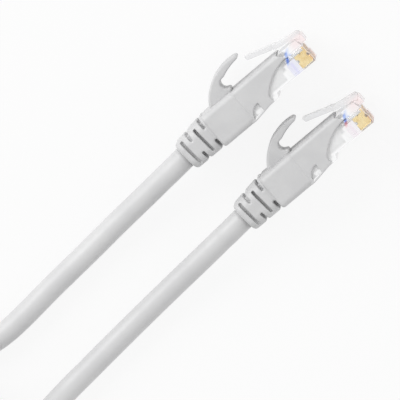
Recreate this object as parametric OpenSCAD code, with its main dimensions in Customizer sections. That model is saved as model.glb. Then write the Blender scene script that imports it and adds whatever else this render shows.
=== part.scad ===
// Ethernet patch cable: two clear 8P8C plugs in snagless boots on one round lead.
//
// Both plugs lie on their side. +X is the way a plug goes into its jack, +Y is
// the side of the plug that carries the release latch, +Z is up. Each end is
// drawn in its own frame (nose at x = 0, contact side of the nose at y = 0,
// middle of the width at z = 0) and then moved to where it lies.

/* [Plug body] */
// Width of the plug across its eight contacts
plug_width = 11.68; // [11.5:0.01:11.8]
// Height of the plug at its nose
nose_height = 6.6; // [6.4:0.05:6.8]
// Length of the plug from nose to rear
plug_length = 21.5; // [20.5:0.1:23]
// Length of the thin nose, ahead of the deeper rear part
nose_length = 12.3; // [11.5:0.1:13]
// How far the deeper rear part reaches past the contact side
rear_drop = 1.27; // [0.8:0.01:1.4]
// Thickness of the plug's clear walls
plug_wall = 0.9; // [0.7:0.05:1.1]

/* [Contacts and wires] */
// Number of contacts and of insulated wires
ways = 8; // [4:2:8]
// Distance between neighbouring contacts
contact_pitch = 1.02; // [1:0.01:1.03]
// Thickness of one contact blade
contact_thick = 0.35; // [0.25:0.01:0.4]
// Length of a contact blade along the plug
contact_length = 3.3; // [3:0.1:3.6]
// Height of a contact blade, prongs included
contact_height = 4.1; // [3.8:0.1:4.2]
// Diameter of one insulated wire
wire_diameter = 0.92; // [0.8:0.01:0.95]

/* [Release latch] */
// Width of the latch over its shoulders
latch_width = 6.22; // [6:0.01:6.3]
// Width of the latch's thumb lever
lever_width = 3.25; // [3:0.05:3.6]
// Thickness of the latch's thumb lever
latch_thick = 1.2; // [1:0.05:1.3]
// Length from the latch's root to its shoulders
shoulder_reach = 6.0; // [5.5:0.1:6.2]
// Length from the latch's root to the tip of the lever
lever_reach = 12.7; // [12:0.1:13.2]
// Furthest press of the latch, in degrees
latch_press = 9; // [6:0.5:10]

/* [Boot] */
// Width of the boot's body
boot_width = 13.6; // [13.2:0.1:14.2]
// Length of the boot's body
boot_length = 9.7; // [9:0.1:11]
// Radius of the long edges of the boot's body
boot_round = 1.4; // [0.8:0.1:1.8]
// How far the boot's body grips over the rear of the plug
boot_grip = 1.6; // [1:0.1:2.2]
// Thickness of the boot's wall over the contact side of the plug
boot_floor = 0.73; // [0.6:0.01:0.9]
// Thickness of the boot over the latch side of the plug
boot_roof = 0.45; // [0.35:0.01:0.7]
// Thickness of the sleeve's side walls
sleeve_wall = 0.6; // [0.5:0.05:0.7]
// Length of the sleeve's rails ahead of the boot's body
sleeve_length = 13.3; // [12:0.1:13.8]
// Width of the strap that clips down each side of the plug
strap_width = 3; // [2.4:0.1:3.4]

/* [Snag guard] */
// Width of the hooked snag guard
guard_width = 6; // [5:0.1:6.4]
// Radius of the guard's outer curve
guard_outer_r = 12; // [11.8:0.1:12.2]
// Radius of the guard's inner curve
guard_inner_r = 14.9; // [14.8:0.1:15]
// Furthest press of the guard, in degrees
guard_press = 20; // [12:1:20]

/* [Strain relief] */
// Length of the slotted strain relief behind the boot's body
relief_length = 9.1; // [8.8:0.1:11]
// Bend of the strain relief, in degrees
relief_bend = 4.7; // [0:0.1:6]
// Height of the strain relief where it leaves the body
relief_height = 9.2; // [8.8:0.1:9.6]
// Width of the strain relief where it leaves the body
relief_width = 11.6; // [11:0.1:12.4]
// Height of the strain relief at its rear end
tail_height = 7.9; // [7.6:0.1:8.4]
// Width of the strain relief at its rear end
tail_width = 9.6; // [9:0.1:10.4]
// Distance between neighbouring relief slots
slot_pitch = 2.15; // [2:0.05:2.25]
// Width of one relief slot
slot_width = 0.7; // [0.5:0.05:0.9]

/* [Lead] */
// Diameter of the round lead over its jacket
lead_diameter = 5.6; // [5.2:0.1:5.8]
// Thickness of the jacket's wall
jacket_wall = 0.45; // [0.35:0.05:0.6]
// Distance from one plug to the other, across the two ends
end_spacing = 20; // [19:0.5:24]
// How far the second plug lies ahead of the first
end_stagger = 1; // [0:0.5:3]

/* [Fits] */
// Gap between moulded pieces that sit in each other
seat_gap = 0.05; // [0.03:0.01:0.08]
// Gap round a flexing root
root_gap = 0.1; // [0.06:0.01:0.12]

/* [Hidden] */
$fn = 48;
FACETS = 24;              // round corners that are hulled
TINY = 0.01;              // thickness of a hulled slice, and step between lapped faces
OVER = 1;                 // how far a cutter reaches past what it cuts

plug_half = plug_width / 2;
lead_r = lead_diameter / 2;

// Height of the lead's axis, midway over the deep rear part of the plug
axis_y = (nose_height - rear_drop) / 2;

// Boot
body_front = -(plug_length - boot_grip);
body_rear = body_front - boot_length;
body_bottom = -rear_drop - seat_gap - boot_floor;
body_top = nose_height + seat_gap + boot_roof;
pocket_half = plug_half + seat_gap;
sleeve_half = pocket_half + sleeve_wall;
rail_top = body_top - 0.1;
rail_edge_r = 1;
rail_tip = body_front + sleeve_length;
tongue_tip = rail_tip + 1.6;
tongue_y = 5.15;
scoop_r = 12.4;
scoop_at = [tongue_tip + 0.53, tongue_y - scoop_r - 0.2];
strap_front = body_front + 6.05;
strap_rear = strap_front - strap_width;
strap_bottom = -rear_drop + 0.19;
strap_top = 1.6;
window_r = 3;
window_at = [strap_rear, -1.9];
channel_half = latch_width / 2 + 0.3;

// Snag guard: two arcs make its arm, and a round knuckle is its flexing root
guard_outer_at = [body_front + 3.5, body_top - 5.9];
guard_top = guard_outer_at[1] + guard_outer_r;
guard_tip_thick = 1.2;
guard_inner_at = [guard_outer_at[0] + 3.05, guard_top - guard_tip_thick - guard_inner_r];
knuckle_r = 1.05;
knuckle_at = [guard_outer_at[0] - 5.55, guard_top - 2.6];
arm_angle = 31.4;
guard_tip = guard_outer_at[0] + 2.7;
guard_rear = guard_outer_at[0] - guard_outer_r + 1.1;
throat_at = [guard_outer_at[0] - 3.55, guard_top - 3.85];
throat_r = 1.3;
lip_r = 0.55;

// Strain relief
relief_at = [body_rear, axis_y];
relief_round = 2.8;
slot_first = 0.75;
side_bridge = 3.5;        // height of the bridges left at the sides
edge_bridge_gap = 6.8;    // height of the slots cut in from the sides
bore_r = lead_r + seat_gap;
bore_lap = 0.5;           // overlap of the bores, and of the rods, where they meet at an angle
lead_bend_r = 30;         // radius of the lead's bend inside the strain relief

// Release latch
latch_root_r = 0.75;
latch_root_at = [0.05, nose_height + 0.45];
latch_slope = 8.6;        // of the top of the wide part
lever_slope = 18;
heel = [-0.75, -0.27];    // underside of the latch just behind its root, from the root's axis
shoulder_lift = 0.79;     // underside of the shoulders over the root's axis
shoulder_bump = 0.9;      // length of the ridge on top of the shoulders
root_front = latch_root_at[0] + latch_root_r + root_gap + 0.2;
root_bottom = 4.9;

// Contacts and wires
contact_front = -0.4;
contact_rear = contact_front - contact_length;
contact_bottom = 0.25;
contact_slot = contact_thick + 2 * seat_gap;
wire_r = wire_diameter / 2;
wire_y = contact_bottom + contact_height - 0.3;
wire_end = -0.9;
wire_fan_front = -8.2;
wire_fan_rear = -12.7;
wire_rear = -15;
wire_row = 0.7;           // half the height between the two rows in the jacket
wire_crowd = 0.5;         // pitch of the wires in the jacket

// Hollow of the plug
cavity_half = 3.4;
cavity_bottom = -rear_drop + plug_wall;
cavity_top = nose_height - plug_wall;
jacket_front = -13;
clamp_front = -13.6;
clamp_rear = -16.4;
clamp_half = 3.3;
bite = 0.25;              // how deep the clamp presses into the jacket
bar_front = -6.9;
bar_rear = -8.1;
bar_half = 4.7;
bar_height = 2.9;
comb_half = (ways - 1) / 2 * contact_pitch + wire_r + seat_gap;

// Where the ends stand: the pair is centred on the origin and rests on z = 0
end_reach_back = -body_rear + relief_length * cos(relief_bend) + tail_height / 2 * sin(relief_bend);
end_top = guard_top;
rest_z = boot_width / 2;
end_a = [(end_reach_back - end_stagger - root_front) / 2, (end_spacing - body_bottom - end_top) / 2, rest_z];
end_b = end_a + [end_stagger, -end_spacing, 0];

// The lead's route. Its points are set by hand and stay as they are.
route_a = [[-27, 5.8, 6.4], [-34, 5.2, 5.4], [-43, 4.5, 4.1], [-53, 3.6, 3.1], [-65, 2.7, 2.8],
    [-76, 1.7, 2.8], [-81, 1.5, 2.8], [-86, 2.0, 2.9], [-91, 3.7, 3.1], [-97, 7.95, 3.3], [-103, 12.2, 3.5]];
route_b = [[-26, -14.2, 6.4], [-33, -14.8, 5.4], [-42, -15.5, 4.1], [-52, -16.3, 3.1], [-64, -17.3, 2.8],
    [-73, -18.1, 2.8], [-78, -18.5, 3.2], [-82, -18.9, 4.3], [-86, -19.3, 6.0], [-90, -19.7, 8.4],
    [-94, -20, 11.1], [-98, -20.3, 13.4], [-102, -20.5, 15]];

// The rest of the lead is put away in a tied hank: long turns that lie on each other
fold_r = 17.5;            // radius of its folds
hank_at = [-113.5, -3];   // centre of its fold nearest to the ends
hank_run = 74.8;          // length of its straight runs
layer_gap = 0.5;
hank_layer = lead_diameter + layer_gap;
hank_turns = 3;           // the last one stops where the near fold would start
hank_turn = 2 * PI * fold_r + 2 * hank_run;
climb_from = 0.83;        // share of a turn at which the lead starts to climb on the turn below
climb_to = 0.945;
fold_steps = 10;          // steps of the tube round one fold
run_steps = 4;
hank_sides = 8;
lead_sides = 12;
straight = lead_diameter; // straight length at each end of the hank and at a boot

// Ties round the hank, one on each run
tie_width = 5;
tie_thick = 0.5;
tie_gap = 0.1;
tie_tail = 8;
tie_tail_r = 0.9;
hank_low = lead_r + tie_thick + 2 * tie_gap;
hank_high = hank_low + (hank_turns - 1) * hank_layer;

END_NAMES = ["boot", "finger", "plug_shell", "latch", "jacket_end", "jacket_clamp", "load_bar"];

// ---- small tools ----------------------------------------------------------

// A YZ outline drawn out along X from x0 to x1
module along_x(x0, x1) {
    translate([x0, 0, 0]) rotate([90, 0, 90]) linear_extrude(x1 - x0) children();
}

// An XY outline drawn out along Z, centred on the middle of the plug
module across(width) {
    linear_extrude(width, center = true) children();
}

// A box from its lowest corner to its highest
module block(low, high) {
    translate(low) cube(high - low);
}

// A YZ rectangle with round corners
module round_section(y0, y1, half, r) {
    translate([y0 + r, -half]) square([y1 - y0 - 2 * r, 2 * half]);
    translate([y0, -half + r]) square([y1 - y0, 2 * (half - r)]);
    for (y = [y0 + r, y1 - r], z = [-half + r, half - r])
        translate([y, z]) circle(r);
}

// Height across the width of the plug of contact or wire number i
function way_z(i) = ((ways + 1) / 2 - i) * contact_pitch;

// Ring of points of radius r round a point, square to a heading
function ring(at, heading, r, sides) =
    let (h = heading / norm(heading), flat = norm([h[0], h[1]]),
        u = [-h[1], h[0], 0] / flat, v = cross(h, u))
    [for (k = [0:sides - 1]) let (a = 360 * k / sides - 90) at + r * (cos(a) * u + sin(a) * v)];

// A tube swept along points, with a given heading at its two ends
module tube(points, first, last, r, sides) {
    n = len(points);
    headings = [for (i = [0:n - 1]) i == 0 ? first : i == n - 1 ? last :
        points[i + 1] - points[i - 1]];
    skin = [for (i = [0:n - 1]) each ring(points[i], headings[i], r, sides)];
    walls = [for (i = [0:n - 2], k = [0:sides - 1]) let (a = i * sides + k, b = i * sides + (k + 1) % sides)
        each [[a, b, a + sides], [b, b + sides, a + sides]]];
    hub = len(skin);
    ends = [for (k = [0:sides - 1]) each [[hub, (k + 1) % sides, k],
        [hub + 1, (n - 1) * sides + k, (n - 1) * sides + (k + 1) % sides]]];
    polyhedron(concat(skin, [points[0], points[n - 1]]), concat(walls, ends));
}

// ---- boot -----------------------------------------------------------------

module slotted_relief() {
    // Drawn straight back from the body and bent about its root
    translate([relief_at[0], relief_at[1], 0]) rotate([0, 0, relief_bend]) difference() {
        hull() {
            along_x(0, TINY) relief_section(relief_height / 2, relief_width / 2);
            along_x(-relief_length, -relief_length + TINY) relief_section(tail_height / 2, tail_width / 2);
        }
        for (k = [0:3]) {
            x = -slot_first - k * slot_pitch;
            if (k % 2 == 0) edge_slots(x);
            else side_slots(x);
        }
    }
}

module relief_section(half_y, half_z) {
    hull() for (y = [-1, 1], z = [-1, 1])
        translate([y * (half_y - relief_round), z * (half_z - relief_round)])
            circle(relief_round, $fn = FACETS);
}

// Slots cut in from the latch side and the contact side: bridges stay at the sides
module edge_slots(x) {
    for (s = [0, 1]) mirror([0, s, 0])
        block([x - slot_width / 2, side_bridge / 2, -boot_width / 2],
            [x + slot_width / 2, relief_height / 2 + OVER, boot_width / 2]);
}

// Slots cut in from both sides: bridges stay at the latch side and the contact side
module side_slots(x) {
    block([x - slot_width / 2, -edge_bridge_gap / 2, -boot_width / 2],
        [x + slot_width / 2, edge_bridge_gap / 2, boot_width / 2]);
}

// Straight bore through the body, then a slightly wider one along the bent relief
module boot_bore() {
    translate([body_rear - bore_lap, axis_y, 0]) rotate([0, 90, 0])
        cylinder(r = bore_r, h = boot_length + boot_grip);
    translate([body_rear, axis_y, 0]) rotate([0, 0, relief_bend]) translate([bore_lap, 0, 0])
        rotate([0, -90, 0]) cylinder(r = bore_r + seat_gap, h = relief_length + bore_lap + OVER);
}

module plug_pocket() {
    block([-plug_length - seat_gap, -rear_drop - seat_gap, -pocket_half],
        [OVER, nose_height + seat_gap, pocket_half]);
}

module boot_body() {
    along_x(body_rear, body_front) round_section(body_bottom, body_top, boot_width / 2, boot_round);
}

module sleeve_side() {
    difference() {
        polygon([[body_front - OVER / 2, strap_bottom], [tongue_tip, strap_bottom],
            [tongue_tip, tongue_y], [rail_tip, rail_top], [body_front - OVER / 2, rail_top]]);
        translate(scoop_at) circle(scoop_r, $fn = 96);
        intersection() {
            translate(window_at) circle(window_r);
            translate([body_front, strap_bottom - OVER]) square([strap_rear - body_front, window_r + OVER]);
        }
    }
    translate([strap_rear, strap_bottom]) square([strap_width, strap_top - strap_bottom]);
}

module sleeve() {
    intersection() {
        across(2 * sleeve_half) sleeve_side();
        along_x(body_front - OVER, tongue_tip + OVER) difference() {
            round_section(strap_bottom - 2 * rail_edge_r, rail_top, sleeve_half, rail_edge_r);
            translate([nose_height, -channel_half]) square([OVER, 2 * channel_half]);
        }
    }
}

// Side outline of the fixed root of the snag guard, with its throat and lip
module guard_root_side() {
    difference() {
        union() {
            intersection() {
                translate(guard_outer_at) circle(guard_outer_r, $fn = 128);
                translate([guard_rear, body_top - boot_roof]) square([body_front - guard_rear - lip_r, guard_outer_r]);
            }
            translate([body_front - 0.45, body_top + 0.4]) circle(lip_r);
        }
        translate(throat_at) circle(throat_r);
        translate(knuckle_at) {
            circle(knuckle_r + root_gap);
            rotate(arm_angle) translate([0, -1.8]) square(guard_outer_r);
            intersection() {
                circle(knuckle_r + 0.25);
                rotate(arm_angle - 90 - guard_press - 2) square(guard_outer_r);
            }
        }
    }
}

module boot() {
    color([0.84, 0.84, 0.85]) difference() {
        union() {
            boot_body();
            sleeve();
            slotted_relief();
            across(guard_width) guard_root_side();
        }
        plug_pocket();
        boot_bore();
    }
}

module finger() {
    color([0.84, 0.84, 0.85]) across(guard_width) {
        translate(knuckle_at) circle(knuckle_r);
        intersection() {
            difference() {
                translate(guard_outer_at) circle(guard_outer_r, $fn = 128);
                translate(guard_inner_at) circle(guard_inner_r, $fn = 128);
            }
            translate(knuckle_at) rotate(arm_angle) translate([0, -guard_width]) square(2 * guard_outer_r);
            translate([guard_rear, body_top]) square([guard_tip - guard_rear, guard_outer_r]);
        }
    }
}

// ---- plug -----------------------------------------------------------------

module plug_side() {
    polygon([[-plug_length, -rear_drop], [-nose_length, -rear_drop], [-nose_length + 0.5, 0], [0, 0],
        [0, 2.4], [-0.25, 2.6], [-0.25, 5], [-0.8, nose_height], [-plug_length, nose_height]]);
}

module contact_comb() {
    for (i = [1:ways])
        block([contact_rear - seat_gap, -OVER, way_z(i) - contact_slot / 2],
            [OVER, contact_bottom + contact_height + seat_gap, way_z(i) + contact_slot / 2]);
}

// Jacket space, fan-out space, load bar pocket, slot over the contacts and clamp window
module plug_hollow() {
    block([-plug_length - OVER, cavity_bottom, -cavity_half], [jacket_front + seat_gap, cavity_top, cavity_half]);
    block([jacket_front - seat_gap, cavity_bottom + plug_wall, -cavity_half - plug_wall],
        [bar_rear, cavity_top, cavity_half + plug_wall]);
    block([bar_rear - seat_gap, wire_y - bar_height / 2 - seat_gap, -bar_half - seat_gap],
        [bar_front + seat_gap, wire_y + bar_height / 2 + seat_gap, bar_half + seat_gap]);
    block([bar_rear, wire_y - wire_r - seat_gap, -comb_half],
        [wire_end + seat_gap, wire_y + wire_r + seat_gap, comb_half]);
    block([clamp_rear - seat_gap, -rear_drop - OVER, -clamp_half - seat_gap],
        [clamp_front + seat_gap, cavity_bottom + OVER, clamp_half + seat_gap]);
}

module latch_seat() {
    difference() {
        block([-OVER, root_bottom, -latch_width / 2], [root_front, latch_root_at[1] - 0.1, latch_width / 2]);
        translate([latch_root_at[0], latch_root_at[1], 0])
            cylinder(r = latch_root_r + root_gap, h = latch_width + OVER, center = true);
        translate([latch_root_at[0] - latch_width, nose_height, -latch_width])
            cube([latch_width, OVER, 2 * latch_width]);
    }
}

module plug_shell() {
    color([0.86, 0.9, 0.93, 0.35]) difference() {
        union() {
            across(plug_width) plug_side();
            latch_seat();
        }
        contact_comb();
        plug_hollow();
        translate([latch_root_at[0], latch_root_at[1], 0])
            cylinder(r = latch_root_r + root_gap, h = latch_width + 2 * root_gap, center = true);
    }
}

// Side outline of the latch from its root back to x = -reach, drawn at rest
module latch_arm_side(reach) {
    rise = (lever_reach - shoulder_reach) * tan(lever_slope);
    ridge = [-shoulder_reach, shoulder_lift + latch_thick / cos(lever_slope)];
    tip = [-lever_reach, shoulder_lift + rise];
    translate(latch_root_at) intersection() {
        polygon([heel, [0, 0], [0, latch_root_r],
            [shoulder_bump - shoulder_reach, latch_root_r + (shoulder_reach - shoulder_bump) * tan(latch_slope)],
            ridge, tip + [0, latch_thick], tip + [-0.2, latch_thick * 0.7], tip, [-shoulder_reach, shoulder_lift]]);
        translate([-reach, -latch_root_r]) square([reach, guard_outer_r]);
    }
}

module latch() {
    color([0.86, 0.9, 0.93, 0.35]) {
        across(latch_width) {
            translate(latch_root_at) circle(latch_root_r);
            latch_arm_side(shoulder_reach);
        }
        across(lever_width) latch_arm_side(lever_reach + OVER);
    }
}

// ---- what the plug holds --------------------------------------------------

// The jacket's outside: straight, bent at the strain relief, and straight again
module jacket_rod() {
    reach = lead_bend_r * tan(relief_bend / 2);
    translate([body_rear + reach - bore_lap, axis_y, 0]) rotate([0, 90, 0])
        cylinder(r = lead_r, h = jacket_front - body_rear - reach + bore_lap);
    translate([body_rear + reach, axis_y - lead_bend_r, 0]) rotate([0, 0, 90])
        rotate_extrude(angle = relief_bend, $fn = 360) translate([lead_bend_r, 0]) circle(lead_r + TINY, $fn = 48);
    translate([body_rear, axis_y, 0]) rotate([0, 0, relief_bend]) rotate([0, -90, 0])
        translate([0, 0, reach - bore_lap]) cylinder(r = lead_r, h = relief_length - reach + bore_lap);
}

module jacket_end() {
    color([0.84, 0.84, 0.85]) difference() {
        jacket_rod();
        translate([wire_rear, axis_y, 0]) rotate([0, 90, 0])
            cylinder(r = lead_r - jacket_wall, h = -wire_rear);
        block([clamp_rear - seat_gap, axis_y - lead_diameter, -clamp_half - OVER],
            [clamp_front + seat_gap, axis_y - lead_r + bite, clamp_half + OVER]);
    }
}

module jacket_clamp() {
    low = -rear_drop + 0.2;
    top = axis_y - lead_r + bite;
    color([0.86, 0.9, 0.93, 0.35]) across(2 * clamp_half)
        polygon([[clamp_rear, low], [clamp_front, low], [clamp_front, -0.5], [clamp_front - 0.5, top],
            [clamp_rear + 0.5, top], [clamp_rear, -0.5]]);
}

module load_bar() {
    color([0.86, 0.9, 0.93, 0.35]) difference() {
        block([bar_rear, wire_y - bar_height / 2, -bar_half], [bar_front, wire_y + bar_height / 2, bar_half]);
        block([bar_rear - OVER, wire_y - wire_r - seat_gap, -comb_half],
            [bar_front + OVER, wire_y + wire_r + seat_gap, comb_half]);
    }
}

// Side outline of a contact: a waisted blade with two piercing prongs
module contact_side() {
    waist = contact_bottom + 0.48 * contact_height;
    top = contact_bottom + contact_height;
    middle = (contact_front + contact_rear) / 2;
    difference() {
        translate([contact_rear, contact_bottom]) square([contact_length, contact_height]);
        for (x = [contact_front, contact_rear]) translate([x, waist]) circle(0.5);
        polygon([[middle - 0.6, top + TINY], [middle, top - 1.1], [middle + 0.6, top + TINY]]);
        difference() {
            translate([contact_front - 0.4, contact_bottom - TINY]) square(0.4 + TINY);
            translate([contact_front - 0.4, contact_bottom + 0.4]) circle(0.4);
        }
    }
}

module contact(i) {
    color([0.86, 0.68, 0.24]) translate([0, 0, way_z(i)]) across(contact_thick) contact_side();
}

WIRE_COLOURS = [[0.93, 0.8, 0.7], [0.9, 0.5, 0.15], [0.78, 0.9, 0.78], [0.2, 0.4, 0.8],
    [0.75, 0.82, 0.93], [0.2, 0.6, 0.3], [0.85, 0.78, 0.72], [0.5, 0.33, 0.2]];

// From two rows in the jacket to one row over the contacts
module wire(i) {
    row = (i % 2 == 0 ? 1 : -1) * wire_row;
    packed = way_z(i) / contact_pitch * wire_crowd;
    steps = 5;
    fan = [for (k = [0:steps]) let (t = k / steps, s = t * t * (3 - 2 * t))
        [wire_fan_rear + (wire_fan_front - wire_fan_rear) * t,
            (axis_y + row) * (1 - s) + wire_y * s, packed * (1 - s) + way_z(i) * s]];
    points = concat([[wire_rear, axis_y + row, packed]], fan, [[wire_end, wire_y, way_z(i)]]);
    color(WIRE_COLOURS[i - 1]) tube(points, [1, 0, 0], [1, 0, 0], wire_r, 8);
}

// ---- lead -----------------------------------------------------------------

// Rear face of an end's strain relief, where the free lead starts
function lead_exit(end) = end + [relief_at[0] - relief_length * cos(relief_bend),
    relief_at[1] - relief_length * sin(relief_bend), 0];
back = [-cos(relief_bend), -sin(relief_bend), 0];

// Place of the hank's axis at a length from its start: run out, far fold, run back, near fold
function hank_point(length) =
    let (turn = floor(length / hank_turn), along = length - turn * hank_turn, fold = PI * fold_r,
        climb = min(max((along / hank_turn - climb_from) / (climb_to - climb_from), 0), 1),
        z = hank_low + hank_layer * (turn + climb * climb * (3 - 2 * climb)),
        out = along < hank_run, far = along < hank_run + fold, home = along < 2 * hank_run + fold,
        a = 90 + (far ? along - hank_run : along - 2 * hank_run) / fold_r * 180 / PI)
    out ? [hank_at[0] - along, hank_at[1] + fold_r, z]
    : far ? [hank_at[0] - hank_run + fold_r * cos(a), hank_at[1] + fold_r * sin(a), z]
    : home ? [hank_at[0] - 2 * hank_run - fold + along, hank_at[1] - fold_r, z]
    : [hank_at[0] + fold_r * cos(a), hank_at[1] + fold_r * sin(a), z];

// Lengths of one turn at which the tube has a ring
turn_stops = concat(
    [for (k = [0:run_steps - 1]) hank_run * k / run_steps],
    [for (k = [0:fold_steps - 1]) hank_run + PI * fold_r * k / fold_steps],
    [for (k = [0:run_steps - 1]) hank_run + PI * fold_r + hank_run * k / run_steps],
    [for (k = [0:fold_steps - 1]) 2 * hank_run + PI * fold_r + PI * fold_r * k / fold_steps]);
last_stop = 2 * hank_run + PI * fold_r;
hank_stops = concat(
    [for (n = [0:hank_turns - 2]) each [for (l = turn_stops) n * hank_turn + l]],
    [for (l = turn_stops) if (l < last_stop) (hank_turns - 1) * hank_turn + l],
    [(hank_turns - 1) * hank_turn + last_stop]);
hank_wound = [for (l = hank_stops) hank_point(l)];
hank_enter = hank_wound[0] + [straight, 0, 0];
hank_leave = hank_wound[len(hank_wound) - 1] + [straight, 0, 0];
hank_path = concat([hank_enter], hank_wound, [hank_leave]);

module lead(end, route, finish) {
    points = concat([lead_exit(end), lead_exit(end) + straight * back], route, [finish]);
    color([0.84, 0.84, 0.85]) tube(points, back, [-1, 0, 0], lead_r, lead_sides);
}

module lead_hank() {
    color([0.84, 0.84, 0.85]) tube(hank_path, [-1, 0, 0], [1, 0, 0], lead_r, hank_sides);
}

// Upright ring round the layers of one run, with a twisted tail on top
module tie_section(grow) {
    r = lead_r + tie_gap + grow;
    for (z = [hank_low, hank_high]) translate([0, z]) circle(r);
    translate([-r, hank_low]) square([2 * r, hank_high - hank_low]);
}

module hank_tie(i) {
    side = i == 1 ? 1 : -1;
    top = hank_high + lead_r + tie_gap + tie_thick;
    color([0.8, 0.8, 0.8]) translate([hank_at[0] - hank_run / 2, hank_at[1] + side * fold_r, 0]) {
        along_x(-tie_width / 2, tie_width / 2) difference() {
            tie_section(tie_thick);
            tie_section(0);
        }
        translate([0, 0, top + tie_tail_r - 0.2]) rotate([0, 90, 0]) cylinder(r = tie_tail_r, h = tie_tail);
    }
}

// Least free gap of the put-away lead to itself, on points more than half a turn apart along it
function run(points, from = 1) = from == len(points) ? 0 :
    norm(points[from] - points[from - 1]) + run(points, from + 1);
fine = 3;                 // spacing of the points that are measured
wound_fine = [for (l = [0:fine:hank_stops[len(hank_stops) - 1]]) hank_point(l)];
gaps = [for (i = [0:len(wound_fine) - 1], j = [i + floor(hank_turn / 2 / fine):1:len(wound_fine) - 1])
    norm(wound_fine[i] - wound_fine[j]) - lead_diameter];
echo(least_hank_gap = min(gaps));
echo(hank_length = run(hank_path));
echo(lead_a_length = run(concat([lead_exit(end_a)], route_a, [hank_enter])));
echo(lead_b_length = run(concat([lead_exit(end_b)], route_b, [hank_leave])));
echo(end_a = end_a, end_b = end_b, exit_a = lead_exit(end_a), exit_b = lead_exit(end_b));

// ---- the whole cable ------------------------------------------------------

for (e = [["a", end_a], ["b", end_b]]) translate(e[1]) {
    boot();
    finger();
    plug_shell();
    latch();
    jacket_end();
    jacket_clamp();
    load_bar();
    for (i = [1:ways]) {
        contact(i);
        wire(i);
    }
}
for (i = [1:2]) hank_tie(i);
lead(end_a, route_a, hank_enter);  // lead_a
lead(end_b, route_b, hank_leave);  // lead_b
lead_hank();
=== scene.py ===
"""Dressed model of an ethernet patch cable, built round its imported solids.

Both plugs lie on their side: +X is the way a plug goes into its jack, +Y is the
side of its release latch and +Z is up. Sizes inside an end are in millimetres in
that end's own frame, whose origin is at the nose (x), at the contact side of the
nose (y) and in the middle of the width (z).
"""

from __future__ import annotations

import logging
import math
from dataclasses import dataclass, field
from enum import Enum
from functools import partialmethod
from typing import Any, Callable, Sequence

import bmesh
import bpy
import numpy as np
import openvdb
from mathutils import Matrix, Vector

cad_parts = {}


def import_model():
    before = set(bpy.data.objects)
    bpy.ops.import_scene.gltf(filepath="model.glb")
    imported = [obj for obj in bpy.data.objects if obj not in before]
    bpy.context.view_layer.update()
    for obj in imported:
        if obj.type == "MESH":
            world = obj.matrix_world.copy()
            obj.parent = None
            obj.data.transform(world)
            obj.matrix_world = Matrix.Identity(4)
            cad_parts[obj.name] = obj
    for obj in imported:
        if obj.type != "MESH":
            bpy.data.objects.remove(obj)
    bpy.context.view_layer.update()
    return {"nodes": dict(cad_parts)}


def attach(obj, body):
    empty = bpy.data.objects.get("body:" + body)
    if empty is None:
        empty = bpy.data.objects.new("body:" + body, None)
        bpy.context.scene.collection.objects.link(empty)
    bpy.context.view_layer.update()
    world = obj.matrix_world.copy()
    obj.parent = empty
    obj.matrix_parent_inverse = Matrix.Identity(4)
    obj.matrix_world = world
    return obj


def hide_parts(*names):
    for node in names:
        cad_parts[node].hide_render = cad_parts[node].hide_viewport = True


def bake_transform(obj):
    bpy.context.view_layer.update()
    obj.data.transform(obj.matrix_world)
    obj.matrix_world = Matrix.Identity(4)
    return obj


LOG = logging.getLogger("patch_cable")
MM = 0.001
Colour = tuple[float, float, float]
Point = tuple[float, float, float]
Pair = tuple[float, float]
Circle = tuple[float, float, float]
Grid = np.ndarray

# Lead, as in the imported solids
LEAD_DIAMETER = 5.6
RELIEF_BEND = math.radians(4.7)
AXIS_Y = 2.665

# Samples to each side of a skin that its grid keeps
GRID_REACH = 3.0

# Pieces that a smooth line is cut into between two of its points
KNOT_STEPS = 12


class End(Enum):
    """The two ends of the cable, each with the place of its own frame in the row."""

    A = ("a", (18.4465, 4.425, 6.8))
    B = ("b", (19.4465, -15.575, 6.8))

    @property
    def letter(self) -> str:
        """Letter that ends the names of this end's nodes."""
        return self.value[0]

    @property
    def origin(self) -> Vector:
        """Origin of this end's frame in the row, in metres."""
        return Vector(self.value[1]) * MM

    def node(self, stem: str) -> str:
        """Name of this end's node or piece that starts with a stem."""
        return f"{stem}_{self.letter}"

    def place(self, x: float, y: float, z: float) -> Vector:
        """Turn a point of this end's frame, in millimetres, into the row's metres."""
        return self.origin + Vector((x, y, z)) * MM


# ---- shader tools ---------------------------------------------------------


class Signal:
    """A node socket that takes part in Python expressions."""

    def __init__(self, nodes: "Nodes", socket: Any) -> None:
        """Wrap an output socket of a tree."""
        self.nodes = nodes
        self.socket = socket

    def _maths(self, operation: str, other: Any) -> "Signal":
        """Add a Math node whose first operand is this signal."""
        return self.nodes.add("ShaderNodeMath", {0: self, 1: other}, operation=operation)

    def _reflected(self, operation: str, other: Any) -> "Signal":
        """Add a Math node whose second operand is this signal."""
        return self.nodes.add("ShaderNodeMath", {0: other, 1: self}, operation=operation)

    # Operators with their reflected forms, so that 1 - mask works
    __add__ = partialmethod(_maths, "ADD")
    __radd__ = partialmethod(_reflected, "ADD")
    __sub__ = partialmethod(_maths, "SUBTRACT")
    __rsub__ = partialmethod(_reflected, "SUBTRACT")
    __mul__ = partialmethod(_maths, "MULTIPLY")
    __rmul__ = partialmethod(_reflected, "MULTIPLY")
    __gt__ = partialmethod(_maths, "GREATER_THAN")
    largest = partialmethod(_maths, "MAXIMUM")

    def size(self) -> "Signal":
        """Distance from 0."""
        return self._maths("ABSOLUTE", 0.0)

    def ramp(self, low: float, high: float, start: float = 0.0, end: float = 1.0) -> "Signal":
        """Map low to high smoothly to start to end, which hold on beyond them."""
        inputs = {"Value": self, "From Min": low, "From Max": high, "To Min": start, "To Max": end}
        return self.nodes.add("ShaderNodeMapRange", inputs, interpolation_type="SMOOTHSTEP")


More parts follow.
